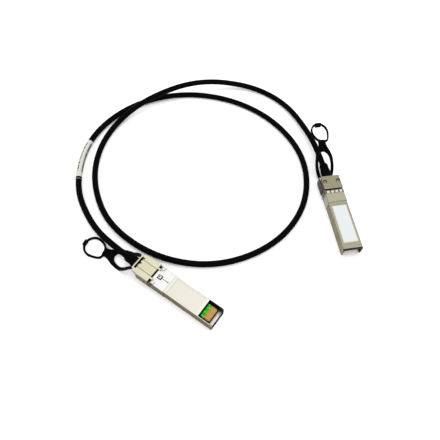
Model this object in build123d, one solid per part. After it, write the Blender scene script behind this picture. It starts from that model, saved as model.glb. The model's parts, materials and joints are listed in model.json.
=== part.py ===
from build123d import *
from math import atan, cos, degrees, hypot, pi, radians, sin, tan
import os

# A short copper cable with the same small plug module at both ends.
# All sizes are in millimetres. In a module, x runs from the cage stop towards the host, y to the left and
# z up from the bottom face. Module a lies bottom up, module b lies top up, and the cable lies between them.

# Cutters reach this far past the faces that they open
beyond = 1.0

# Module body
stop_to_host = 47.5
body_width = 13.55
body_height = 8.5
nose_start = 10.8
nose_relief = 0.2
nose_bow = 0.9
corner_radius = 0.4
wall = 0.95
floor_thickness = 0.9
lid_thickness = 1.4
lid_rim = 1.9
window_length = 10.4
nose_chamfer = 1.1
bevel_length = 1.7
bevel_flat = 0.5
bevel_drop = 0.55

# Latch boss on the bottom, with a line scribed forward from it to a dot
boss_start = 2.5
boss_length = 2.6
boss_flat = 1.4
boss_width = 2.6
boss_height = 0.45
boss_pocket = 1.0
scribe_width = 0.16
scribe_depth = 0.12
scribe_end = 9.6
dot_diameter = 0.7

# Head, the end that stays outside the cage
head_step = 0.15
head_length = 11.9
shelf_step = 1.4
shelf_thickness = 1.0
cover_setback = 0.5
plate_setback = 0.4
plate_front = 0.2
plate_margin = 0.1
plate_height = 0.9
head_groove = 0.75
front_groove = 0.5
rib_width = 5.9
rib_notch = (1.1, 1.2, 1.9)

# Recesses for labels: from the nose's step, short of the front or window, and in from the sides
pocket_depth = 0.12
top_pocket = (2.4, 5.3, 1.4)
bottom_pocket = (2.1, 2.2, 1.0)
label_margin = 0.5
label_thickness = 0.1

# Fasteners in the head plate
rivet_from_rear = 4.5
rivet_from_side = 1.85
rivet_shank = 1.5
rivet_head = 2.4
rivet_head_height = 0.35
rivet_head_edge = 0.14
rivet_crown = 1.3
rivet_depth = 1.5
counterbore = 3.0
counterbore_depth = 0.5

# Circuit card and what it carries
card_setback = 3.2
card_length = 32.3
card_width = 9.2
card_low = 2.25
card_thickness = 1.0
card_chamfer = 0.6
rail_overlap = 0.6
post_from_rear = 6.0
post_length = 3.0
post_overlap = 1.0
pad_count = 10
pad_pitch = 0.8
pad_width = 0.56
pad_length = 3.0
ground_pad_extra = 0.45
pad_setback = 0.35
pad_thickness = 0.08
chip_size = 3.0
chip_height = 0.9
chip_standoff = 0.1
chip_from_rear = 15.0
chip_legs_per_side = 4
chip_leg_width = 0.3
chip_leg_pitch = 0.65
chip_leg_reach = 0.7
chip_leg_thickness = 0.25
capacitor_length = 1.0
capacitor_width = 0.55
capacitor_y = 1.2
capacitor_from_rear = 22.0

# Cable and the way in
cable_diameter = 4.2
crimped_length = 1.7
bore_clearance = 0.05
ferrule_setback = 0.2
ferrule_length = 4.1
ferrule_diameter = 5.2
ferrule_lip = 0.35
boot_width = 7.4
boot_height = 6.1
boot_corner = 2.4
boot_length = 12.7
boot_waist = 0.5
boot_tip_diameter = 5.4
boot_ring_diameter = 6.2
boot_ring_length = 1.2
boot_ring_gap = 1.5
boot_web = 1.0
boot_flange_width = 9.0
boot_flange_height = 6.8
boot_flange_thickness = 1.0
pair_width = 2.3
pair_height = 1.25
pair_gap = 0.04
pair_spread = 2.3
pair_rise = 0.45
pair_end = 2.5
pair_straight = 4.5
pair_bend = 4.0
wire_diameter = 0.4
wire_pitch = 0.9
wire_lift = 0.01
wire_landing = 4.0
wire_step = 1.2
wire_bend = 0.8

# Spring-finger collar
collar_start = 0.3
collar_length = 2.8
collar_sheet = 0.13
collar_groove = 0.15
collar_clearance = 0.01
finger_width = 1.9
finger_pitch = 3.0
finger_rise = 0.45
top_fingers = 4
side_fingers = 2
collar_foot = 2.1

# Release slider
sheet = 0.4
slide_clearance = 0.05
side_clearance = 0.15
slider_front = 1.3
slider_side_rear = 11.0
slider_side_rise = 0.4
slider_corner = 0.6
strip_slot = 1.0
strip_width = 0.8
strip_half_width = 5.3
strip_neck = 0.8
slider_fold = 0.5
arm_inner = 3.4
arm_outer = 4.5
arm_reach = 2.4
arm_curl = 0.4
arm_curl_length = 0.7
lug_x = 5.2
lug_low = 3.0
lug_high = 4.2
lug_reach = 1.3
lug_gap = 0.2
spring_length = 4.3
spring_diameter = 1.3
spring_wire = 0.24
spring_turns = 5
wire_sides = 6

# Pull tab: outline seen from above, as half-widths at distances behind the slider's rear edge
tab_thickness = 1.15
tab_bar_front = 0.3
tab_bar_rear = 0.1
tab_bar_half_width = 5.2
eye_outer = ((0.0, 5.0), (3.3, 6.5), (7.8, 7.1), (13.3, 6.5), (17.8, 4.9), (21.3, 3.2), (23.3, 2.8))
eye_inner = ((0.0, 3.5), (3.3, 4.2), (7.0, 5.0), (11.3, 4.7), (14.8, 3.5), (16.7, 1.9))
eye_end = 17.4
neck_end = 27.0
ring_centre = 32.1
ring_line = (
    (7.0, 1.2),
    (6.7, 4.5),
    (3.3, 5.7),
    (-1.9, 5.8),
    (-5.3, 3.9),
    (-6.9, 0.5),
    (-6.5, -3.1),
    (-3.8, -5.7),
    (0.0, -6.1),
    (3.7, -4.7),
    (6.3, -2.5),
)
ring_band = 1.3
grip_width = 4.6
grip_depth = 1.9
grip_height = 1.5
# Each tab's bend seen from the side: distance behind the slider's rear edge, and height above the slider
tab_path_a = ((0.6, 0.0), (9.2, 8.82), (43.5, 9.63))
tab_path_b = ((0.8, 0.0), (11.8, 8.5), (22.8, 13.4), (41.3, 17.4))
tab_bend_radius = 3.0
# Each soft tab's swing in degrees, and how far it is drawn out along and across
tab_swing_a = -10.5
tab_swing_b = -1.5
tab_stretch_a = (1.05, 1.08)
tab_stretch_b = (0.955, 0.95)

# Where the modules lie on the surface: cage stop and heading
stop_a = (-40.71, -45.06)
heading_a = -33.8
stop_b = (77.71, 24.32)
heading_b = -79.7
straight_out = 34.0

# Route of the cable between its two straight ends, and the wrap label on it
route = (
    (-89.7, -6.7, 3.6),
    (-106.7, 26.3, 2.45),
    (-104.7, 70.3, 2.45),
    (-79.7, 105.3, 2.1),
    (-40.7, 122.3, 2.1),
    (2.3, 118.3, 2.1),
    (38.3, 96.3, 2.1),
    (61.3, 59.3, 2.1),
    (60.3, 16.3, 2.1),
    (37.3, -17.7, 2.1),
    (-1.7, -35.7, 2.1),
    (-42.7, -30.7, 2.1),
    (-77.7, -6.7, 2.1),
    (-93.7, 26.3, 2.1),
    (-95.7, 58.3, 2.1),
    (-85.7, 88.3, 2.1),
    (-60.7, 108.3, 10.5),
    (-22.7, 129.3, 10.5),
    (19.3, 134.3, 2.1),
    (48.3, 115.3, 2.1),
    (64.3, 84.3, 3.6),
)
arc_share = 0.45
label_y = (34.8, 69.3)
label_collar_y = (31.3, 34.0)
wrap_diameter = 4.8
wrap_gap = 0.05

# Sizes that follow from those above
split_height = body_height - lid_rim
lid_under = body_height - lid_thickness
nose_top = body_height - nose_relief
nose_width = body_width - 2 * nose_relief
inner_half = body_width / 2 - wall
window_start = stop_to_host - window_length
head_width = body_width - head_step
shelf_length = head_length + shelf_step
cover_length = head_length - cover_setback
plate_length = cover_length - plate_setback - plate_front
plate_width = head_width - 2 * plate_margin
plate_top = body_height + plate_height
rivet_x = rivet_from_rear - plate_front - plate_length
rivet_y = plate_width / 2 - rivet_from_side
card_front = stop_to_host - card_setback
card_rear = card_front - card_length
card_high = card_low + card_thickness
cable_height = body_height / 2
boot_flange_rear = head_length - boot_web
boot_flange_front = boot_flange_rear - boot_flange_thickness
boot_tip_x = head_length + boot_length
ferrule_rear = boot_flange_front - ferrule_setback
ferrule_front = ferrule_rear - ferrule_length
jacket_end = ferrule_rear - crimped_length
slider_inner = head_width / 2 + side_clearance
slider_outer = slider_inner + sheet
slider_low = -slide_clearance - sheet
slider_side_top = split_height + slider_side_rise
slider_plate_rear = shelf_length + 2 * slide_clearance
strip_front = slider_plate_rear + strip_slot
strip_rear = strip_front + strip_width
pocket_rear = lug_x + sheet + spring_length
pocket_front = lug_x - sheet - slide_clearance
pocket_low = lug_low - lug_gap
pocket_high = lug_high + lug_gap
spring_height = (lug_low + lug_high) / 2
spring_y = slider_inner - lug_gap - spring_diameter / 2
cavity_rear = pocket_front - wall
sheet_middle = slider_low + sheet / 2
arm_tip_x = -slider_front + arm_reach
arm_turn = 2 * atan(arm_curl / arm_curl_length)
arm_low = sheet_middle - arm_curl - sheet / 2 * cos(arm_turn)
arm_low_x = arm_tip_x - sheet / 2 * sin(arm_turn)
tab_bar_x = shelf_length + tab_bar_front
tab_bar_height = tab_thickness / 2 - slide_clearance
ring_far = max(-x for x, y in ring_line)


def area(left, right, low, high):
    return Pos((left + right) / 2, (low + high) / 2) * Rectangle(right - left, high - low)


def along_x(sketch, start, end):
    return extrude(Plane.YZ.offset(start) * sketch, end - start)


def along_y(sketch, start, end):
    return extrude(Plane.XZ.offset(-end) * sketch, end - start)


def along_z(sketch, start, end):
    return extrude(Plane.XY.offset(start) * sketch, end - start)


def both_sides(solid):
    return solid + mirror(solid, about=Plane.XZ)


def rounded_low(width, low, high):
    section = area(-width / 2, width / 2, low, high)
    return fillet(section.vertices().group_by(Axis.Y)[0], corner_radius)


def rounded_high(width, low, high):
    section = area(-width / 2, width / 2, low, high)
    return fillet(section.vertices().group_by(Axis.Y)[-1], corner_radius)


# The zones ahead of the head, each with its two ends, width, low and high: stop, collar seat, full and nose
def body_zones():
    collar_from = collar_start - slide_clearance
    collar_to = collar_start + collar_length + slide_clearance
    seat_width = body_width - 2 * collar_groove
    return (
        (0.0, collar_from, body_width, 0.0, body_height),
        (collar_from, collar_to, seat_width, 0.0, body_height - collar_groove),
        (collar_to, nose_start, body_width, 0.0, body_height),
        (nose_start, stop_to_host, nose_width, nose_relief, nose_top),
    )


# A label's panel on the nose, drawn in by an inset
def label_panel(pocket, front_limit, inset):
    rear_gap, front_gap, side_gap = pocket
    start = nose_start + rear_gap + inset
    end = front_limit - front_gap - inset
    width = nose_width - 2 * (side_gap + inset)
    return Pos((start + end) / 2, 0) * RectangleRounded(end - start, width, corner_radius)


# The way through the head for the cable, its boot and its ferrule, which are laid into the base from above
def cable_way(open_above):
    neck = RectangleRounded(boot_width + bore_clearance, boot_height + bore_clearance, boot_corner)
    flange = RectangleRounded(boot_flange_width + bore_clearance, boot_flange_height + bore_clearance, boot_corner)
    groove = Circle(ferrule_diameter / 2 + bore_clearance)
    stretches = (
        (neck, shelf_length + beyond, boot_flange_rear),
        (flange, boot_flange_rear + bore_clearance, boot_flange_front - bore_clearance),
        (groove, boot_flange_front, cavity_rear),
    )
    way = Part()
    for section, rear, front in stretches:
        if open_above:
            half = section.bounding_box().size.X / 2
            section += area(-half, half, 0, split_height - cable_height)
        way += along_x(Pos(0, cable_height) * section, -rear, -front)
    return way


def base_shell():
    shell = along_x(rounded_low(head_width, 0, split_height), -shelf_length, 0)
    for start, end, width, low, high in body_zones():
        shell += along_x(rounded_low(width, low, split_height), start, end)
    # The head is cut back above a thin shelf that carries the boot
    rear_cut = Polyline(
        (-shelf_length - beyond, shelf_thickness),
        (-shelf_length, shelf_thickness),
        (-head_length, shelf_thickness + shelf_step),
        (-head_length, split_height + beyond),
        (-shelf_length - beyond, split_height + beyond),
        close=True,
    )
    shell -= along_y(make_face(rear_cut), -head_width, head_width)
    shell -= along_x(area(-inner_half, inner_half, floor_thickness, split_height), -cavity_rear, stop_to_host)
    # Rails under the card
    rail = area(card_width / 2 - rail_overlap, inner_half, floor_thickness / 2, card_low)
    shell += both_sides(along_x(rail, card_rear, window_start))
    # Open window under the card's contacts
    window = area(window_start, stop_to_host + beyond, -inner_half, inner_half)
    shell -= along_z(window, -beyond, card_low)
    nose_corner = Polyline(
        (stop_to_host - nose_chamfer, nose_relief),
        (stop_to_host, nose_relief + nose_chamfer),
        (stop_to_host + beyond, nose_relief - beyond),
        close=True,
    )
    shell -= along_y(make_face(nose_corner), -body_width, body_width)
    # Latch boss with its shoulder to the rear and a ramp to the front
    boss = Polyline(
        (boss_start, floor_thickness / 2),
        (boss_start, -boss_height),
        (boss_start + boss_flat, -boss_height),
        (boss_start + boss_length, 0),
        (boss_start + boss_length, floor_thickness / 2),
        close=True,
    )
    shell += along_y(make_face(boss), -boss_width / 2, boss_width / 2)
    pocket = Pos(boss_start + boss_flat / 2, 0) * Rectangle(boss_pocket, boss_pocket)
    shell -= along_z(pocket, -boss_height - beyond, -boss_height / 2)
    scribe = area(boss_start + boss_length, scribe_end, -scribe_width / 2, scribe_width / 2)
    scribe += Pos(scribe_end, 0) * Circle(dot_diameter / 2)
    shell -= along_z(scribe, -beyond, scribe_depth)
    # Guide rib between the two halves of the slider, with two notches in its rear end
    rib = area(-rib_width / 2, rib_width / 2, slider_low, floor_thickness / 2)
    shell += along_x(rib, -shelf_length, -slider_front)
    notch_depth, notch_inner, notch_outer = rib_notch
    notch = area(-shelf_length, -shelf_length + notch_depth, notch_inner, notch_outer)
    shell -= both_sides(along_z(notch, slider_low, 0))
    # Shallow panel on the bottom
    panel = label_panel(bottom_pocket, window_start, 0)
    shell -= along_z(panel, -beyond, nose_relief + pocket_depth)
    # Side pockets for the return springs
    spring_pocket = area(-pocket_rear, -pocket_front, pocket_low, pocket_high)
    shell -= both_sides(along_y(spring_pocket, slider_inner - lug_reach - lug_gap, slider_outer))
    hole = Pos(rivet_x, rivet_y) * Circle(rivet_shank / 2)
    shell -= both_sides(along_z(hole, split_height - rivet_depth, split_height))
    return shell - cable_way(True)


def cover_shell():
    # The head stands in from the plate above it, which leaves a groove round it
    head = rounded_high(head_width - 2 * head_groove, split_height, body_height)
    shell = along_x(head, -cover_length, 0)
    for start, end, width, low, high in body_zones():
        shell += along_x(rounded_high(width, split_height, high), start, end)
    groove = area(-front_groove, collar_start - slide_clearance, -body_width, body_width)
    shell -= along_z(groove, body_height - head_groove, body_height + beyond)
    plate = Pos(-plate_front - plate_length / 2, 0) * RectangleRounded(plate_length, plate_width, corner_radius)
    shell += along_z(plate, body_height, plate_top)
    shell -= along_x(area(-inner_half, inner_half, split_height, lid_under), -cavity_rear, stop_to_host)
    # The step down to the nose bows to the rear
    step_line = ThreePointArc(
        (nose_start, -body_width / 2), (nose_start - nose_bow, 0), (nose_start, body_width / 2)
    )
    bow = make_face(step_line + Line(step_line @ 1, step_line @ 0))
    shell -= along_z(bow, nose_top, body_height + beyond)
    bevel = Polyline(
        (stop_to_host - bevel_length, nose_top),
        (stop_to_host - bevel_flat, nose_top - bevel_drop),
        (stop_to_host + beyond, nose_top - bevel_drop),
        (stop_to_host + beyond, nose_top + beyond),
        (stop_to_host - bevel_length, nose_top + beyond),
        close=True,
    )
    shell -= along_y(make_face(bevel), -body_width, body_width)
    shell -= along_z(label_panel(top_pocket, stop_to_host, 0), nose_top - pocket_depth, nose_top + beyond)
    # Posts that hold the card down on its rails
    post_rear = card_rear + post_from_rear
    post = area(post_rear, post_rear + post_length, card_width / 2 - post_overlap, inner_half)
    shell += both_sides(along_z(post, card_high + slide_clearance, lid_under + lid_thickness / 2))
    hole = Pos(rivet_x, rivet_y) * Circle(rivet_shank / 2)
    head_seat = Pos(rivet_x, rivet_y) * Circle(counterbore / 2)
    shell -= both_sides(along_z(hole, split_height, plate_top))
    shell -= both_sides(along_z(head_seat, plate_top - counterbore_depth, plate_top))
    return shell - cable_way(False)


def cover_rivets():
    foot = split_height - rivet_depth
    head_low = plate_top - counterbore_depth
    shank = rivet_shank / 2 - bore_clearance
    profile = Polyline(
        (0, foot),
        (shank, foot),
        (shank, head_low),
        (rivet_head / 2, head_low),
        (rivet_head / 2, head_low + rivet_head_edge),
        (rivet_crown / 2, head_low + rivet_head_height),
        (0, head_low + rivet_head_height),
        close=True,
    )
    rivet = Pos(rivet_x, rivet_y, 0) * revolve(Plane.XZ * make_face(profile), Axis.Z)
    return [rivet, mirror(rivet, about=Plane.XZ)]


def emi_gasket():
    seat_half = body_width / 2 - collar_groove + collar_clearance
    seat_top = body_height - collar_groove + collar_clearance
    outer_half = seat_half + collar_sheet
    band = area(-outer_half, outer_half, -collar_clearance - collar_sheet, seat_top + collar_sheet)
    band -= area(-seat_half, seat_half, -collar_clearance, seat_top)
    foot_inner = outer_half - collar_foot
    band -= area(-foot_inner, foot_inner, -beyond, 0)
    end = collar_start + collar_length
    collar = along_x(band, collar_start, end)
    finger_line = ThreePointArc(
        (collar_start + collar_sheet, collar_sheet / 2),
        ((collar_start + end) / 2, collar_sheet / 2 + finger_rise),
        (end - collar_sheet, collar_sheet / 2),
    )
    finger = along_y(trace(finger_line, collar_sheet), -finger_width / 2, finger_width / 2)
    for number in range(top_fingers):
        collar += Pos(0, (number - (top_fingers - 1) / 2) * finger_pitch, seat_top) * finger
    for number in range(side_fingers):
        height = body_height / 2 + (number - (side_fingers - 1) / 2) * finger_pitch
        collar += both_sides(Pos(0, seat_half, height) * Rot(-90, 0, 0) * finger)
    foot = Pos(0, seat_half - collar_foot / 2, -collar_clearance) * Rot(180, 0, 0) * finger
    return collar + both_sides(foot)


def paddle_card():
    half = card_width / 2
    outline = Polyline(
        (card_rear, -half),
        (card_front - card_chamfer, -half),
        (card_front, -half + card_chamfer),
        (card_front, half - card_chamfer),
        (card_front - card_chamfer, half),
        (card_rear, half),
        close=True,
    )
    return along_z(make_face(outline), card_low, card_high)


def contact_pads():
    pads = []
    front = card_front - pad_setback
    for number in range(pad_count):
        y = (number - (pad_count - 1) / 2) * pad_pitch
        length = pad_length
        if number % 3 == 0:
            length = pad_length + ground_pad_extra
        pad = area(front - length, front, y - pad_width / 2, y + pad_width / 2)
        pads.append(along_z(pad, card_high, card_high + pad_thickness))
        pads.append(along_z(pad, card_low - pad_thickness, card_low))
    return pads


def eeprom_chip():
    chip_x = card_rear + chip_from_rear
    body = Pos(chip_x, 0) * Rectangle(chip_size, chip_size)
    chip = along_z(body, card_high + chip_standoff, card_high + chip_height)
    reach = chip_size / 2 + chip_leg_reach
    leg = area(chip_x - chip_leg_width / 2, chip_x + chip_leg_width / 2, -reach, reach)
    legs = along_z(leg, card_high, card_high + chip_leg_thickness)
    for number in range(chip_legs_per_side):
        chip += Pos((number - (chip_legs_per_side - 1) / 2) * chip_leg_pitch, 0, 0) * legs
    return chip


def coupling_capacitors():
    pieces = []
    for y in (-capacitor_y, capacitor_y):
        block = Pos(card_rear + capacitor_from_rear, y) * Rectangle(capacitor_length, capacitor_width)
        pieces.append(along_z(block, card_high, card_high + capacitor_width))
    return pieces


def twinax_pairs():
    pieces = []
    pair_z = card_high + wire_diameter / 2 + pair_rise
    wire_z = card_high + wire_diameter / 2 + wire_lift
    pair_end_x = card_rear - pair_end
    for side in (-1, 1):
        start_z = cable_height + side * (pair_height + pair_gap) / 2
        pair_y = side * pair_spread
        path = FilletPolyline(
            (-jacket_end, 0, start_z),
            (-jacket_end + pair_straight, 0, start_z),
            (pair_end_x - pair_straight, pair_y, pair_z),
            (pair_end_x, pair_y, pair_z),
            radius=pair_bend,
        )
        section = Plane(origin=path @ 0, x_dir=(0, 1, 0), z_dir=path % 0) * Ellipse(pair_width / 2, pair_height / 2)
        pieces.append(sweep(section, path=path))
        for wire in (-1, 1):
            y = pair_y + wire * wire_pitch / 2
            wire_path = FilletPolyline(
                (pair_end_x, y, pair_z),
                (pair_end_x + wire_step, y, pair_z),
                (card_rear + wire_step, y, wire_z),
                (card_rear + wire_landing, y, wire_z),
                radius=wire_bend,
            )
            wire_plane = Plane(origin=wire_path @ 0, x_dir=(0, 1, 0), z_dir=wire_path % 0)
            pieces.append(sweep(wire_plane * RegularPolygon(wire_diameter / 2, wire_sides), path=wire_path))
    return pieces


def crimp_ferrule():
    inner = cable_diameter / 2 + bore_clearance
    outer = ferrule_diameter / 2
    profile = Polyline(
        (-ferrule_rear, inner),
        (-ferrule_rear, outer),
        (-ferrule_front, outer),
        (-ferrule_front, inner - ferrule_lip),
        (-jacket_end + ferrule_lip, inner - ferrule_lip),
        (-jacket_end + ferrule_lip, inner),
        close=True,
    )
    return Pos(0, 0, cable_height) * revolve(make_face(profile), Axis.X)


def cable_boot():
    root = RectangleRounded(boot_width, boot_height, boot_corner)
    flange = RectangleRounded(boot_flange_width, boot_flange_height, boot_corner)
    waist = RectangleRounded(boot_width - boot_waist, boot_height - boot_waist, boot_corner + boot_waist / 2)
    tip = Circle(boot_tip_diameter / 2)
    boot = along_x(flange, -boot_flange_rear, -boot_flange_front)
    boot += along_x(root, -head_length, -boot_flange_rear)
    sections = []
    for place, section in ((head_length, root), ((head_length + boot_tip_x) / 2, waist), (boot_tip_x, tip)):
        sections.append(Plane.YZ.offset(-place) * section)
    boot += loft(sections, ruled=True)
    # Two moulded rings near the tip
    for number in range(2):
        ring_rear = boot_tip_x - boot_ring_length - number * (boot_ring_length + boot_ring_gap)
        boot += along_x(Circle(boot_ring_diameter / 2), -ring_rear, -ring_rear + boot_ring_length)
    boot -= along_x(Circle(cable_diameter / 2 + bore_clearance), -boot_tip_x - beyond, 0)
    return Pos(0, 0, cable_height) * boot


def release_slider():
    section = area(-slider_outer, slider_outer, slider_low, slider_side_top)
    section = fillet(section.vertices().group_by(Axis.Y)[0], slider_fold)
    inside = area(-slider_inner, slider_inner, -slide_clearance, slider_side_top + beyond)
    inside = fillet(inside.vertices().group_by(Axis.Y)[0], slider_fold - sheet)
    slider = along_x(section - inside, -slider_side_rear, -slider_front)
    # The bottom sheet narrows to the rear strip that the tab is moulded on
    flat_half = slider_outer - slider_fold
    tail_left = (
        (-slider_side_rear, flat_half),
        (-slider_plate_rear + slider_corner, flat_half),
        (-slider_plate_rear, flat_half - slider_corner),
        (-strip_rear, strip_half_width),
    )
    tail_right = [(x, -y) for x, y in reversed(tail_left)]
    slider += along_z(make_face(Polyline(*tail_left, *tail_right, close=True)), slider_low, -slide_clearance)
    slot_half = strip_half_width - strip_neck
    slider -= along_z(area(-strip_front, -slider_plate_rear, -slot_half, slot_half), -beyond, 0)
    gap_half = rib_width / 2 + slide_clearance
    slider -= along_z(area(-slider_plate_rear - slide_clearance, 0, -gap_half, gap_half), -beyond, 0)
    # Arms whose curled tips push the cage's latch off the boss
    curl_start = (arm_tip_x - arm_curl_length, sheet_middle)
    arm_line = Line((-slider_front - sheet, sheet_middle), curl_start)
    arm_curve = TangentArc(curl_start, (arm_tip_x, sheet_middle - arm_curl), tangent=(1, 0))
    slider += both_sides(along_y(trace(arm_line + arm_curve, sheet), arm_inner, arm_outer))
    # Lugs lanced out of the sides and bent in, where the return springs push
    lug = area(-lug_x, -lug_x + sheet, lug_low, lug_high)
    slider += both_sides(along_y(lug, slider_inner - lug_reach, slider_outer))
    lance = area(-lug_x + sheet, -lug_x + sheet + lug_reach, lug_low, lug_high)
    slider -= both_sides(along_y(lance, slider_inner, slider_outer))
    return slider


def return_springs():
    coil_radius = (spring_diameter - spring_wire) / 2
    pitch = (spring_length - 2 * spring_wire) / spring_turns
    path = Helix(pitch=pitch, height=pitch * spring_turns, radius=coil_radius)
    wire = Plane(origin=path @ 0, z_dir=path % 0) * RegularPolygon(spring_wire / 2, wire_sides)
    coil = sweep(wire, path=path, is_frenet=True)
    coil = Pos(-pocket_rear + spring_wire, spring_y, spring_height) * Rot(0, 90, 0) * coil
    return [coil, mirror(coil, about=Plane.XZ)]


# The area inside the ring's middle line, grown outwards; two curves meet at its near and far ends
def ring_area(drawn, growth):
    points = []
    for x, y in ring_line:
        share = 1 + growth / hypot(x, y)
        points.append((ring_centre - x * share, y * share))
    points = drawn(points + points[:1])
    half = len(ring_line) // 2
    return make_face(Spline(*points[: half + 1]) + Spline(*points[half:]))


# One soft loop with two windows, the eye round the boot and the ring for a finger, bent to its side view
def pull_tab(path_points, swing, stretch):
    drawn_along, drawn_across = stretch

    def drawn(points):
        return [(-x * drawn_along, y * drawn_across) for x, y in points]

    def mirrored(points):
        return drawn(points), drawn([(x, -y) for x, y in reversed(points)])

    left, right = mirrored(eye_outer)
    neck_corners = drawn([(neck_end, eye_outer[-1][1]), (neck_end, -eye_outer[-1][1])])
    outline = Spline(*left) + Polyline(left[-1], *neck_corners, right[0]) + Spline(*right)
    loop = make_face(outline + Line(right[-1], left[0]))
    loop += ring_area(drawn, ring_band / 2)
    loop -= ring_area(drawn, -ring_band / 2)
    left, right = mirrored(eye_inner)
    loop -= make_face(Spline(*left, *drawn([(eye_end, 0)]), *right) + Line(right[-1], left[0]))
    grip_x = (ring_centre + ring_far) * drawn_along
    grip = Pos(-grip_x, 0) * RectangleRounded(grip_depth, grip_width, grip_depth / 3)
    turned = Pos(-strip_rear, 0) * Rot(0, 0, swing)
    bar = area(-strip_rear - tab_bar_rear, -tab_bar_x, -tab_bar_half_width, tab_bar_half_width)
    side_points = [(-tab_bar_x, tab_bar_height)]
    side_points += [(-strip_rear - x, tab_bar_height + z) for x, z in path_points]
    line = FilletPolyline(*side_points, radius=tab_bend_radius)
    sheet_side = trace(line, tab_thickness)
    grip_side = Pos(0, -grip_height / 2) * trace(line, tab_thickness + grip_height)
    return bent(turned * loop + bar, sheet_side) + bent(turned * grip, grip_side)


# The solid with this plan from above and this side view
def bent(plan, side):
    across = plan.bounding_box()
    upright = side.bounding_box()
    return along_z(plan, upright.min.Y, upright.max.Y) & along_y(side, across.min.Y, across.max.Y)


def top_label():
    floor = nose_top - pocket_depth
    return along_z(label_panel(top_pocket, stop_to_host, label_margin), floor, floor + label_thickness)


# Where a module comes to rest: it touches the surface near its stop and under its nose
def seat(stop, heading, near_x, near_height, far_x, far_height, turned_over):
    tilt = atan((near_height - far_height) / (far_x - near_x))
    height = near_height * cos(tilt) + near_x * sin(tilt)
    place = Pos(stop[0], stop[1], height) * Rot(0, 0, heading) * Rot(0, degrees(tilt), 0)
    if turned_over:
        place = place * Rot(180, 0, 0)
    return place


def module_pieces(letter, place, tab_path, tab_swing, tab_stretch):
    pieces = {
        "base_shell": base_shell(),
        "cover_shell": cover_shell(),
        "cover_rivets": cover_rivets(),
        "emi_gasket": emi_gasket(),
        "paddle_card": paddle_card(),
        "contact_pads": contact_pads(),
        "eeprom_chip": eeprom_chip(),
        "coupling_capacitors": coupling_capacitors(),
        "twinax_pairs": twinax_pairs(),
        "crimp_ferrule": crimp_ferrule(),
        "cable_boot": cable_boot(),
        "release_slider": release_slider(),
        "return_springs": return_springs(),
        "pull_tab": pull_tab(tab_path, tab_swing, tab_stretch),
    }
    placed = {}
    for name, shape in pieces.items():
        if isinstance(shape, list):
            shape = Compound(children=[Part() + item for item in shape])
        placed[name + "_" + letter] = place * shape
    return placed


def cable_points(places):
    ends = []
    for place in places:
        inside = (place * Pos(-jacket_end, 0, cable_height)).position
        outside = (place * Pos(-straight_out, 0, cable_height)).position
        ends.append((inside, outside))
    (a_inside, a_outside), (b_inside, b_outside) = ends
    return [a_inside, a_outside] + [Vector(*point) for point in route] + [b_outside, b_inside]


def arc_radii(points):
    radii = []
    for before, corner, after in zip(points, points[1:], points[2:]):
        run_in = corner - before
        run_out = after - corner
        turn = radians(run_in.get_angle(run_out))
        radii.append(arc_share * min(run_in.length, run_out.length) / tan(turn / 2))
    return radii


def tube(points, diameter):
    path = FilletPolyline(*points, radius=arc_radii(points))
    return path, sweep(Plane(origin=path @ 0, z_dir=path % 0) * Circle(diameter / 2), path=path)


# A film wound on the cable's first free bend, between two places along y
def sleeve(points, low_y, high_y):
    path, outside = tube(points, wrap_diameter)
    path, inside = tube(points, cable_diameter + 2 * wrap_gap)
    extent = outside.bounding_box()
    slab = along_y(area(extent.min.X, extent.max.X, extent.min.Z, extent.max.Z), low_y, high_y)
    return (outside - inside) & slab


seat_a = seat(stop_a, heading_a, -plate_front, plate_top, stop_to_host - bevel_length, nose_top, True)
seat_b = seat(stop_b, heading_b, arm_low_x, -arm_low, stop_to_host - nose_chamfer, -nose_relief, False)
points = cable_points((seat_a, seat_b))
label_points = points[1:6]

nodes = {}
nodes.update(module_pieces("a", seat_a, tab_path_a, tab_swing_a, tab_stretch_a))
nodes.update(module_pieces("b", seat_b, tab_path_b, tab_swing_b, tab_stretch_b))
nodes["top_label_b"] = seat_b * top_label()
rigid = Compound(children=[Part() + shape for shape in nodes.values()])
path, nodes["cable_jacket"] = tube(points, cable_diameter)
nodes["cable_label"] = sleeve(label_points, *label_y)
nodes["cable_label_collar"] = sleeve(label_points, *label_collar_y)

os.makedirs("parts", exist_ok=True)
for name, shape in nodes.items():
    export_step(shape, "parts/" + name + ".step")

section = pi * cable_diameter**2 / 4
print("smallest cable radii", sorted(round(radius) for radius in arc_radii(points))[:5])
print("cable length", round(path.length, 1))
print("volume over section times length", round(nodes["cable_jacket"].volume / section / path.length, 4))
for letter, place in (("a", seat_a), ("b", seat_b)):
    print("seat", letter, place.position, place.orientation)
box = rigid.bounding_box()
print("box", box.min, box.max, "centre", (box.min + box.max) / 2)
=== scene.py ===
import json
import math

import bpy
from mathutils import Matrix, Vector


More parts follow.
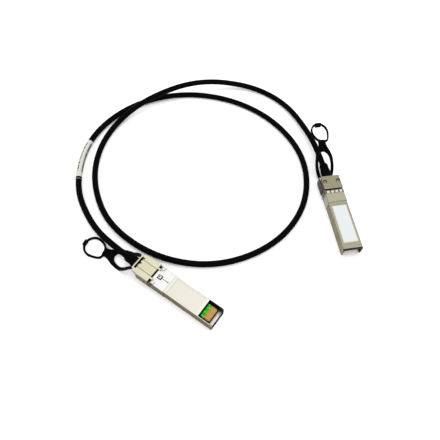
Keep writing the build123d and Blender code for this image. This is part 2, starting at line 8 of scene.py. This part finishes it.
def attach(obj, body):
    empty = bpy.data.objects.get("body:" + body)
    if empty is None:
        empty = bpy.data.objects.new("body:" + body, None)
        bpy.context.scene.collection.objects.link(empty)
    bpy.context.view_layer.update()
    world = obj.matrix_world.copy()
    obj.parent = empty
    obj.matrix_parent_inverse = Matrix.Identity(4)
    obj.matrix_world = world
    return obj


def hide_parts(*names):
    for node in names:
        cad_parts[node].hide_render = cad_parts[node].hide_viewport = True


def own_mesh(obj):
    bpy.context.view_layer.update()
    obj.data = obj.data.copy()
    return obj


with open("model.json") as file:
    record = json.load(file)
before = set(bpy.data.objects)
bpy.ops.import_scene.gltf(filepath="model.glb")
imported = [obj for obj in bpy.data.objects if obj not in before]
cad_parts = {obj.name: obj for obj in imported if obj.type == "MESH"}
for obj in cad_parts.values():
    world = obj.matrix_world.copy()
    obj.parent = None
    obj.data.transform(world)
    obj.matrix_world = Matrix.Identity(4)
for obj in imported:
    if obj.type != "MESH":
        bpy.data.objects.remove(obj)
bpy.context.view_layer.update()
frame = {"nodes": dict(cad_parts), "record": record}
record = frame["record"]
nodes = frame["nodes"]
MM = 0.001

# Camera
# The photograph looks down on the cable from the front, a little turned about the line of sight.
camera_height_angle = math.radians(58.8)
camera_roll = math.radians(1.68)
camera_distance = 314.34 * MM
camera_target = Vector((-1.65, 1.57, 0)) * MM
camera = bpy.data.objects.new("camera", bpy.data.cameras.new("camera"))
camera.data.sensor_width = 36
camera.data.lens = 36.96
camera.data.clip_start = 0.01
camera.data.clip_end = 10
back = Vector((0, -math.cos(camera_height_angle), math.sin(camera_height_angle)))
level_right = Vector((1, 0, 0))
level_up = back.cross(level_right)
right = level_right * math.cos(camera_roll) + level_up * math.sin(camera_roll)
up = back.cross(right)
camera.matrix_world = Matrix.Translation(camera_target + back * camera_distance) @ Matrix(
    ((right.x, up.x, back.x), (right.y, up.y, back.y), (right.z, up.z, back.z))
).to_4x4()
bpy.context.scene.collection.objects.link(camera)
bpy.context.scene.camera = camera


# Where the two plugs lie
# Each plug has its own axes: x towards the host, y to its left and z out of its top, from its cage stop.
# They are read from the plug's interfaces, so every pattern on it turns with it.
def plug_axes(letter):
    mounts = {mount["name"]: mount for mount in record["mounts"]}
    port = mounts["host_port_" + letter]
    x_axis = Vector(port["axis"])
    y_axis = Vector(mounts["nose_side_" + letter]["axis"])
    z_axis = x_axis.cross(y_axis)
    origin = Vector(port["pos_m"]) - z_axis * 4.25 * MM
    turn = Matrix((x_axis, y_axis, z_axis)).transposed()
    return Matrix.Translation(origin) @ turn.to_4x4()


plugs = {"a": plug_axes("a"), "b": plug_axes("b")}


# Cable jacket
# A black extruded jacket, satin, over the two wire pairs. It leaves each boot straight and lies in one
# loose loop and a half, with the second turn crossing over the first at the back.
class Level:
    """A socket in a finish's tree: sums and products of sockets read as arithmetic."""

    def __init__(self, finish, socket):
        self.finish = finish
        self.socket = socket

    def join(self, operation, left, right):
        return self.finish.node("ShaderNodeMath", {"operation": operation}, {0: left, 1: right})

    def __add__(self, other):
        return self.join("ADD", self, other)

    def __radd__(self, other):
        return self.join("ADD", other, self)

    def __sub__(self, other):
        return self.join("SUBTRACT", self, other)

    def __rsub__(self, other):
        return self.join("SUBTRACT", other, self)

    def __mul__(self, other):
        return self.join("MULTIPLY", self, other)

    def __rmul__(self, other):
        return self.join("MULTIPLY", other, self)

    def __gt__(self, other):
        return self.join("GREATER_THAN", self, other)

    def __lt__(self, other):
        return self.join("LESS_THAN", self, other)

    def __abs__(self):
        return self.join("ABSOLUTE", self, 0)

    def within(self, low, high):
        return (self > low) * (self < high)

    def parts(self):
        """The x, y and z of a vector."""
        split = self.finish.tree.nodes.new("ShaderNodeSeparateXYZ")
        self.finish.plug(split.inputs[0], self)
        return [Level(self.finish, output) for output in split.outputs]


class Finish:
    """One material: a shader and the nodes that feed it."""

    def __init__(self, name, **constants):
        self.material = bpy.data.materials.new(name)
        self.material.use_nodes = True
        self.tree = self.material.node_tree
        self.shader = self.tree.nodes["Principled BSDF"]
        self.object_place = self.node("ShaderNodeTexCoord", {}, {}, "Object")
        self.feed(**constants)

    def plug(self, socket, value):
        if isinstance(value, Level):
            self.tree.links.new(value.socket, socket)
        elif socket.type == "RGBA" and len(value) == 3:
            socket.default_value = (*value, 1)
        else:
            socket.default_value = value

    def node(self, kind, settings=None, values=None, output=0):
        made = self.tree.nodes.new(kind)
        for name, value in (settings or {}).items():
            setattr(made, name, value)
        for name, value in (values or {}).items():
            self.plug(made.inputs[name], value)
        return Level(self, made.outputs[output])

    def feed(self, **sockets):
        """Sets or links the shader's sockets; an underscore stands for a space."""
        for name, value in sockets.items():
            self.plug(self.shader.inputs[name.replace("_", " ")], value)

    def blend(self, share, first, second):
        """The first colour where share is 0, the second where it is 1."""
        return self.node(
            "ShaderNodeMix",
            {"data_type": "RGBA"},
            {"Factor": share, 6: first, 7: second},
            output=2,
        )

    def noise(self, place, scale, detail=2.0, roughness=0.5):
        values = {"Vector": place, "Scale": scale, "Detail": detail, "Roughness": roughness}
        return self.node("ShaderNodeTexNoise", {}, values)

    def fade(self, value, low, high):
        """0 below low, 1 above high, smooth between."""
        settings = {"interpolation_type": "SMOOTHSTEP"}
        values = {"Value": value, "From Min": low, "From Max": high}
        return self.node("ShaderNodeMapRange", settings, values)

    def in_plug(self, letter):
        """The place in a plug's own millimetres, and the surface's direction in its axes."""
        turn = plugs[letter].to_euler()
        texture = {"vector_type": "TEXTURE"}
        spot = {"Location": plugs[letter].translation, "Rotation": turn, "Scale": (MM, MM, MM)}
        place = self.node("ShaderNodeMapping", texture, {"Vector": self.object_place, **spot})
        normal = self.node("ShaderNodeTexCoord", {}, {}, "Normal")
        facing = self.node("ShaderNodeMapping", texture, {"Vector": normal, "Rotation": turn})
        return place, facing

    def relief(self, height, distance, strength=1.0):
        values = {"Strength": strength, "Distance": distance, "Height": height}
        self.feed(Normal=self.node("ShaderNodeBump", {}, values))

    def on(self, *pieces):
        for piece in pieces:
            piece.data.materials.clear()
            piece.data.materials.append(self.material)


cable_diameter = 4.2 * MM
straight_out = 34.0
jacket_end = 8.0
cable_line_height = 4.25
# The same route as the solid cable's, in metres
route = (
    (-0.0897, -0.0067, 0.0036),
    (-0.1067, 0.0263, 0.00245),
    (-0.1047, 0.0703, 0.00245),
    (-0.0797, 0.1053, 0.0021),
    (-0.0407, 0.1223, 0.0021),
    (0.0023, 0.1183, 0.0021),
    (0.0383, 0.0963, 0.0021),
    (0.0613, 0.0593, 0.0021),
    (0.0603, 0.0163, 0.0021),
    (0.0373, -0.0177, 0.0021),
    (-0.0017, -0.0357, 0.0021),
    (-0.0427, -0.0307, 0.0021),
    (-0.0777, -0.0067, 0.0021),
    (-0.0937, 0.0263, 0.0021),
    (-0.0957, 0.0583, 0.0021),
    (-0.0857, 0.0883, 0.0021),
    (-0.0607, 0.1083, 0.0105),
    (-0.0227, 0.1293, 0.0105),
    (0.0193, 0.1343, 0.0021),
    (0.0483, 0.1153, 0.0021),
    (0.0643, 0.0843, 0.0036),
)


def along_plug(letter, distance):
    return plugs[letter] @ (Vector((-distance, 0, cable_line_height)) * MM)


cable_points = [along_plug("a", jacket_end), along_plug("a", straight_out)]
cable_points += [Vector(point) for point in route]
cable_points += [along_plug("b", straight_out), along_plug("b", jacket_end)]


def cable_curve(name, diameter):
    curve = bpy.data.curves.new(name, "CURVE")
    curve.dimensions = "3D"
    spline = curve.splines.new("NURBS")
    spline.points.add(len(cable_points) - 1)
    for control, point in zip(spline.points, cable_points):
        control.co = (*point, 1)
        control.radius = diameter / 2
    spline.order_u = 3
    spline.use_endpoint_u = True
    curve.resolution_u = 24
    curve.bevel_depth = 1
    curve.bevel_resolution = 8
    piece = bpy.data.objects.new(name, curve)
    bpy.context.scene.collection.objects.link(piece)
    return piece


cable = cable_curve("cable", cable_diameter)
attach(cable, "cable_and_plugs")
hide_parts("cable_jacket")

jacket = Finish("black_jacket", Base_Color=(0.0018, 0.0018, 0.002), Specular_IOR_Level=0.01)
fine = jacket.noise(jacket.object_place, 900, 3)
jacket.feed(Roughness=0.36 + fine * 0.16)
jacket.relief(fine, 0.02 * MM, 0.4)
jacket.on(cable)


# Cable label
# A white film wound round the cable, with a row of plain marks near each side, and a dark end band with a
# fine pale line. Both follow the cable's own curve.
def cable_at(corner, share):
    """A place on the cable's curve between the middles of the two legs that meet at a corner."""
    before = (cable_points[corner - 1] + cable_points[corner]) / 2
    after = (cable_points[corner] + cable_points[corner + 1]) / 2
    towards = before.lerp(cable_points[corner], share)
    return towards.lerp(cable_points[corner].lerp(after, share), share)


def wound_film(name, places, diameter, node):
    curve = bpy.data.curves.new(name, "CURVE")
    curve.dimensions = "3D"
    spline = curve.splines.new("POLY")
    spline.points.add(len(places) - 1)
    for control, place in zip(spline.points, places):
        control.co = (*place, 1)
        control.radius = diameter / 2
    curve.bevel_depth = 1
    curve.bevel_resolution = 8
    curve.use_fill_caps = True
    film = bpy.data.objects.new(name, curve)
    bpy.context.scene.collection.objects.link(film)
    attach(film, "cable_and_plugs")
    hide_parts(node)
    return film


first_corner = 3
label_shares = (0.622, 0.435)
band_shares = (0.568, 0.622)
marks_reach = (37 * MM, 64 * MM)
pale_line = 0.5 * MM
wrap_diameter = 4.6 * MM
steps = 12
places = []
for step in range(steps):
    places.append(cable_at(first_corner, label_shares[0] + (1 - label_shares[0]) * step / steps))
for step in range(steps + 1):
    places.append(cable_at(first_corner + 1, label_shares[1] * step / steps))
film = wound_film("wound_label", places, wrap_diameter, "cable_label")
places = [cable_at(first_corner, share) for share in band_shares]
band = wound_film("label_end_band", places, wrap_diameter, "cable_label_collar")

wrap = Finish("cable_wrap", Roughness=0.4, Specular_IOR_Level=0.2)
away_from_front = wrap.object_place.parts()[1]
across = wrap.node("ShaderNodeTexCoord", {}, {}, "Normal").parts()[0]
ragged = wrap.noise(wrap.object_place, 900, 2)
left_row = across.within(-0.5, -0.06) * (ragged > 0.45)
right_row = (across > 0.79) * (ragged > 0.38)
marks = (left_row + right_row) * away_from_front.within(*marks_reach)
wrap.feed(Base_Color=wrap.blend(marks, (0.49, 0.51, 0.46), (0.05, 0.05, 0.05)))
wrap.on(film)

wrap_end = Finish("wrap_end", Roughness=0.4, Specular_IOR_Level=0.05)
at_line = wrap_end.object_place.parts()[1] < places[0].y + pale_line
wrap_end.feed(Base_Color=wrap_end.blend(at_line, (0.003, 0.003, 0.003), (0.2, 0.2, 0.2)))
wrap_end.on(band)


# Module shells
# Two zinc castings with a plated skin. Faces that lie flat are bright, and the sides are painted duller and
# browner as shade; the cavity and the seams are painted dark as shade, and the scribed marks are dark.
rib_half = 2.95
inner_half = 5.825
lid_under = 7.1
window_start = 37.1
card_front = 44.3
lip_start = 46.3
nose_start = 10.8
plate_top = 9.4
rivet_x = -6.2
rivet_y = 4.75
counterbore_radius = 1.52
slider_front = -1.3
slot_front = -12.7
scribe_start = 5.0
scribe_end = 9.6
scribe_half = 0.2
dot_radius = 0.4
# How deep the nose's face, the panel in it, the window's wall tops and the cavity's floor lie
nose_face = 0.28
panel_face = 0.4
wall_face = 0.21
cavity_floor = 0.88
# How far the panel's edge line, its field, the frame round the boss, its field and its pocket reach
panel_edge, panel_edge_half = (12.7, 35), 5.75
panel_field, panel_field_half = (13.1, 34.7), 5.4
boss_frame, boss_frame_half = (1.8, 5.0), 1.5
boss_field, boss_field_half = (2.4, 4.3), 0.9
boss_pocket, boss_pocket_half = (2.7, 3.3), 0.4
collar_corner, collar_corner_half = (-1.4, 0.35), (4.5, 6.6)
# The cover's body top and its sides, the plate's edge and groove, the step and the recess
body_top, body_top_height = (0.28, 9.9), 8.3
body_side_start, side_wall = 3.2, 6.6
plate_edge, plate_edge_low = (-0.6, 0.28), 7.5
plate_groove = (6.5, 8.45)
nose_step = (9.5, 11)
recess_floor = (8.12, 8.25)
shadow = (0.002, 0.002, 0.0015)
dusk = (0.02, 0.019, 0.014)
# The sides' colours are painted shade, a different depth of it on each plug
olive = (0.12, 0.095, 0.024)
brown = (0.225, 0.195, 0.125)
side_shade_colours = {"a": olive, "b": brown}


class Casting(Finish):
    """Plated metal in a plug's own axes: a colour for flat faces, a darker one painted on the sides as
    shade, and darker specks.
    """

    def __init__(self, name, letter, face, side, speck):
        super().__init__(name + "_" + letter, Specular_IOR_Level=0.1)
        place, facing = self.in_plug(letter)
        self.x, self.y, self.z = place.parts()
        self.forward, self.leftward, self.upward = facing.parts()
        self.half = abs(self.y)
        self.flat = abs(self.upward) > 0.7
        grain = self.noise(place, 2.6, 4, 0.75)
        blotch = self.noise(place, 0.22, 2)
        # The sides take the darker colour as painted shade, in blotches that differ at random
        blotched_side_shade = [channel * 0.7 for channel in side]
        sides = self.blend(self.fade(blotch, 0.3, 0.7), blotched_side_shade, side)
        self.colour = self.blend(self.fade(abs(self.upward), 0.4, 0.85), sides, face)
        specks = [channel * speck for channel in face]
        self.colour = self.blend(self.fade(grain, 0.5, 0.8) * self.flat, self.colour, specks)
        self.shine = 0.9
        self.feed(Roughness=0.36 + grain * 0.2)
        self.relief(grain, 0.02 * MM, 0.5)

    def paint(self, mask, colour):
        self.colour = self.blend(mask, self.colour, colour)

    def darken(self, mask, colour=shadow):
        self.paint(mask, colour)
        self.shine = (1 - mask) * self.shine

    def finish(self, *pieces):
        self.feed(Base_Color=self.colour, Metallic=self.shine)
        self.on(*pieces)


def near_rivet(metal, reach):
    along = metal.x - rivet_x
    across = metal.half - rivet_y
    return along * along + across * across < reach * reach


for letter in "ab":
    base = Casting("base_metal", letter, (0.515, 0.515, 0.505), side_shade_colours[letter], 0.93)
    # The nose is creamier than the body, and the shallow panel in it a little darker, with a fine edge
    base.paint((base.x > nose_start) * (base.z < nose_face) * base.flat, (0.49, 0.48, 0.435))
    base.paint(base.z.within(nose_face, panel_face) * base.flat * (base.x > nose_start), (0.46, 0.445, 0.39))
    edged = base.x.within(*panel_edge) * (base.half < panel_edge_half) * (base.z < panel_face - 0.05)
    inside = base.x.within(*panel_field) * (base.half < panel_field_half)
    base.paint(edged * (1 - inside), (0.42, 0.4, 0.34))
    # The rib between the slider's halves, and painted shade in its two seams, at its rear end, in a patch by
    # the slot and in the gap ahead of the slider
    rib = (base.z < -0.3) * (base.x < slider_front + 0.1)
    base.paint(rib, (0.43, 0.404, 0.285))
    base.darken(rib * (base.half > rib_half - 0.13), dusk)
    base.darken(rib * (base.x < slot_front))
    base.darken(rib * base.x.within(slot_front - 0.1, slot_front + 0.8) * base.y.within(-0.8, 0.3))
    base.darken(base.x.within(slider_front - 0.1, -0.2) * (base.z < 0.3))
    # The line scribed ahead of the latch boss and its dot, and painted shade in the frame round the boss and
    # in its pocket
    scribed = base.x.within(scribe_start, scribe_end + 0.1) * (base.half < scribe_half)
    dot_along = base.x - scribe_end
    dot = dot_along * dot_along + base.y * base.y < dot_radius * dot_radius
    base.darken(base.fade(scribed + dot, 0, 1) * (base.z < 0.2), (0.06, 0.058, 0.05))
    base.darken(base.x.within(*boss_pocket) * (base.z < -0.1) * (base.half < boss_pocket_half))
    framed = base.x.within(*boss_frame) * (base.half < boss_frame_half) * (base.z < 0.2)
    inside = base.x.within(*boss_field) * (base.half < boss_field_half)
    base.darken(framed * (1 - inside), dusk)
    # Painted shade over the far rim and along the near edge of the turned-over plug's window
    if letter == "a":
        rim = (base.y < 0.05 - inner_half) * (base.x > window_start)
        base.darken(rim * (base.z < 1.3))
        base.darken(rim * (base.x > lip_start - 1))
        base.darken(base.y.within(inner_half - 0.05, inner_half + 0.3) * (base.x > window_start), dusk)
    # Painted shade in the corners beside the collar, where the head's side folds meet the body
    base.darken(base.x.within(*collar_corner) * base.half.within(*collar_corner_half) * (base.z < 0.3))
    # Painted shade over the cavity, and over the walls round the open window
    between_walls = base.half < inner_half + 0.01
    base.darken(between_walls * (base.z > cavity_floor) * (base.x > -4.0))
    base.darken(between_walls * (base.x > window_start - 0.02) * (base.z > wall_face))

    cover = Casting("cover_metal", letter, (0.24, 0.23, 0.165), side_shade_colours[letter], 0.6)
    cover.paint((cover.x < 0) * cover.flat, (0.207, 0.193, 0.131))
    # The upper plug's body sides are painted paler too, as lit
    if letter == "b":
        cover_side = cover.x.within(body_side_start, nose_start) * (cover.half > side_wall)
        cover.paint(cover_side * (cover.z < 8), (0.36, 0.35, 0.3))
        base_side = base.x.within(body_side_start, nose_start) * (base.half > side_wall)
        base.paint(base_side * (base.z > 0.5), (0.36, 0.35, 0.3))
    cover.paint(cover.x.within(*body_top) * (cover.z > body_top_height) * cover.flat, (0.275, 0.265, 0.195))
    # The plate's front edge and the groove under it lie in shadow, and so do the rivets' seats
    cover.darken(cover.x.within(*plate_edge) * cover.z.within(plate_edge_low, plate_top - 0.06))
    cover.darken((cover.forward > 0.5) * (cover.x < 0) * (cover.z > 8))
    cover.darken(cover.z.within(*plate_groove) * (cover.x < plate_edge[0]))
    cover.darken(near_rivet(cover, counterbore_radius) * (cover.z < plate_top - 0.03), dusk)
    # The step down to the nose is painted dark as shade, and the floor of the label's recess is a pale
    # border
    step_face = cover.x.within(*nose_step) * (cover.forward > 0.5) * (cover.z > 8)
    cover.darken(step_face, (0.06, 0.055, 0.035))
    recessed = (cover.x > nose_start) * cover.z.within(*recess_floor) * (cover.upward > 0.7)
    cover.paint(recessed, (0.44, 0.43, 0.36))
    # The roof is painted dark as shade over the card and painted bright as lit ahead of it, and the lip at
    # the front is painted dark as shade
    roof = (cover.half < inner_half + 0.01) * (cover.z < lid_under + 0.02)
    cover.darken(roof * (cover.x < card_front + 0.1))
    cover.darken(cover.x > lip_start, dusk)
    lit_roof = cover.x.within(card_front + 0.1, lip_start + 0.3) * (cover.upward < -0.7)
    cover.paint(roof * lit_roof, (0.62, 0.6, 0.55))
    base.finish(nodes["base_shell_" + letter])
    cover.finish(nodes["cover_shell_" + letter])


# Rivets
# Two turned rivets hold the cover down; each lies in a counterbore of the head plate.
for letter in "ab":
    rivet = Casting("rivet", letter, (0.2, 0.19, 0.14), dusk, 0.5)
    # The rivet's sides and all of it away from the middle of its head are painted dark as shade
    rivet.darken(near_rivet(rivet, 0.85) < 0.5, dusk)
    rivet.finish(nodes["cover_rivets_" + letter])


# Spring-finger collar
# Thin tinned sheet round the body: the bowed fingers are painted bright as lit, the band between them is
# left dark as painted shade, and its lower corners are painted shade.
upper_fingers = 8.56
side_fingers = 6.84
lower_fingers = -0.2
for letter in "ab":
    collar = Casting("spring_sheet", letter, (0.13, 0.125, 0.095), (0.08, 0.072, 0.045), 0.8)
    collar.paint((collar.z > upper_fingers) * collar.flat, (0.46, 0.46, 0.41))
    collar.paint((collar.half > side_fingers) * (abs(collar.leftward) > 0.6), (0.24, 0.22, 0.15))
    collar.paint(collar.z < lower_fingers, (0.5, 0.49, 0.44))
    collar.darken((collar.z < 0.2) * (collar.half > collar_corner_half[0]) * (collar.x < 0.4), dusk)
    collar.finish(nodes["emi_gasket_" + letter])


# Release sliders
# Stamped stainless sheet folded round the head, cream where it lies flat, with its sides painted darker as
# shade, to a different depth on each plug, and painted shade in the seams beside the rib, in the slot and
# its notch, and along its upper edge under the plate.
slot_rear = -13.5
slot_half = 4.4
slider_side_shades = {"a": (0.155, 0.125, 0.04), "b": (0.045, 0.04, 0.016)}
for letter in "ab":
    slider = Casting("slider_steel", letter, (0.44, 0.424, 0.32), slider_side_shades[letter], 0.92)
    slider.darken((slider.half < rib_half + 0.18) * (slider.x > slot_front), dusk)
    slider.darken((slider.half < slot_half) * slider.x.within(slot_rear, slot_front))
    notch = slider.x.within(slot_rear, slot_front + 0.8) * slider.y.within(-slot_half, -3.5)
    slider.darken(notch * slider.flat)
    slider.darken(slider.z > 6.3, dusk)
    slider.finish(nodes["release_slider_" + letter])


# Return springs
# Drawn wire, two to a slider, in the pockets beside the head.
spring_wire = Finish("spring_wire", Base_Color=(0.5, 0.5, 0.47), Metallic=1.0, Roughness=0.3)
for letter in "ab":
    bpy.ops.object.select_all(action="DESELECT")
    springs = bpy.data.objects.new("springs_" + letter, nodes["return_springs_" + letter].data.copy())
    bpy.context.scene.collection.objects.link(springs)
    springs.select_set(True)
    bpy.context.view_layer.objects.active = springs
    bpy.ops.object.mode_set(mode="EDIT")
    bpy.ops.mesh.select_all(action="SELECT")
    bpy.ops.mesh.remove_doubles(threshold=0.0005 * MM)
    bpy.ops.object.mode_set(mode="OBJECT")
    into_plug = plugs[letter].inverted()
    reach = [(into_plug @ vertex.co).x / MM for vertex in springs.data.vertices]
    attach(springs, "cable_and_plugs")
    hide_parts("return_springs_" + letter)
    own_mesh(springs)
    spring_wire.on(springs)


# Pull tabs and boots
# Moulded black rubber, a little duller than the jacket, with a fine grain.
for kind, roughness in (("pull_tab", 0.42), ("cable_boot", 0.48)):
    rubber = Finish(kind + "_rubber", Base_Color=(0.0016, 0.0016, 0.0018), Specular_IOR_Level=0.015)
    grain = rubber.noise(rubber.object_place, 1500, 3)
    rubber.feed(Roughness=roughness + grain * 0.12)
    rubber.relief(grain, 0.02 * MM, 0.5)
    rubber.on(nodes[kind + "_a"], nodes[kind + "_b"])


# Circuit cards
# Green mask over traces that show as a lighter pattern, and bare brown laminate between the contacts.
pads_length = 4.3
for letter in "ab":
    card = Finish("card_" + letter, Roughness=0.45, Specular_IOR_Level=0.12)
    place, facing = card.in_plug(letter)
    along_card = place.parts()[0]
    patches = card.noise(place, 0.55, 1)
    mask = card.blend(card.fade(patches, 0.42, 0.6), (0.008, 0.28, 0.012), (0.03, 0.58, 0.04))
    laminate = card.blend(along_card > card_front - pads_length, mask, (0.33, 0.17, 0.03))
    # The card is in the shell's shade just inside the window's rear edge
    card.feed(Base_Color=card.blend(along_card < window_start + 0.9, laminate, shadow))
    card.on(nodes["paddle_card_" + letter])

gold = Finish("gold", Base_Color=(0.33, 0.2, 0.04), Metallic=0.5, Roughness=0.4)
gold.on(nodes["contact_pads_a"], nodes["contact_pads_b"])

chip = Finish("chip", Base_Color=(0.02, 0.02, 0.022), Roughness=0.5)
chip.on(nodes["eeprom_chip_a"], nodes["eeprom_chip_b"])

capacitor = Finish("capacitor", Base_Color=(0.3, 0.2, 0.12), Roughness=0.4)
capacitor.on(nodes["coupling_capacitors_a"], nodes["coupling_capacitors_b"])


# Wire pairs and ferrules
# Foil-wrapped pairs and a drawn sleeve crimped over the jacket's end, inside the head.
foil = Finish("pair_foil", Base_Color=(0.7, 0.71, 0.73), Metallic=1.0)
crinkle = foil.noise(foil.object_place, 1200, 2)
foil.feed(Roughness=0.25 + crinkle * 0.2)
foil.relief(crinkle, 0.05 * MM)
foil.on(nodes["twinax_pairs_a"], nodes["twinax_pairs_b"])

ferrule = Finish("ferrule", Base_Color=(0.66, 0.64, 0.6), Metallic=1.0, Roughness=0.3)
ferrule.on(nodes["crimp_ferrule_a"], nodes["crimp_ferrule_b"])


# Top label
# A blank white film label, pressed into the shallow pocket of the plug that lies top up.
top_label = Finish("top_label", Base_Color=(0.55, 0.575, 0.585), Roughness=0.45, Specular_IOR_Level=0.2)
top_label.on(nodes["top_label_b"])


# Floor and light
# A plain white table, an even white surround and a large soft light overhead, so that shadows stay faint.
bpy.ops.object.select_all(action="DESELECT")
bpy.ops.mesh.primitive_plane_add(size=6, location=(0, 0, -0.02 * MM))
floor = bpy.context.object
floor.name = "floor"
white_floor = Finish("white_floor", Base_Color=(0.95, 0.95, 0.95), Roughness=0.9, Specular_IOR_Level=0.0)
white_floor.feed(Emission_Color=(1, 1, 1), Emission_Strength=0.09)
white_floor.on(floor)

sky = bpy.data.worlds.new("studio")
bpy.context.scene.world = sky
sky.use_nodes = True
sky.node_tree.nodes["Background"].inputs["Color"].default_value = (1, 1, 1, 1)
sky.node_tree.nodes["Background"].inputs["Strength"].default_value = 1.25


def soft_light(name, place, size, power):
    light = bpy.data.lights.new(name, "AREA")
    light.shape = "DISK"
    light.size = size
    light.energy = power
    lamp = bpy.data.objects.new(name, light)
    bpy.context.scene.collection.objects.link(lamp)
    place = Vector(place)
    lamp.location = place
    lamp.rotation_euler = place.to_track_quat("Z", "Y").to_euler()
    return lamp


soft_light("overhead", (0.1, 0.25, 0.9), 0.7, 2.2)
soft_light("front_left", (-0.7, -0.5, 0.6), 0.5, 0.5)
bpy.context.scene.view_settings.view_transform = "Standard"
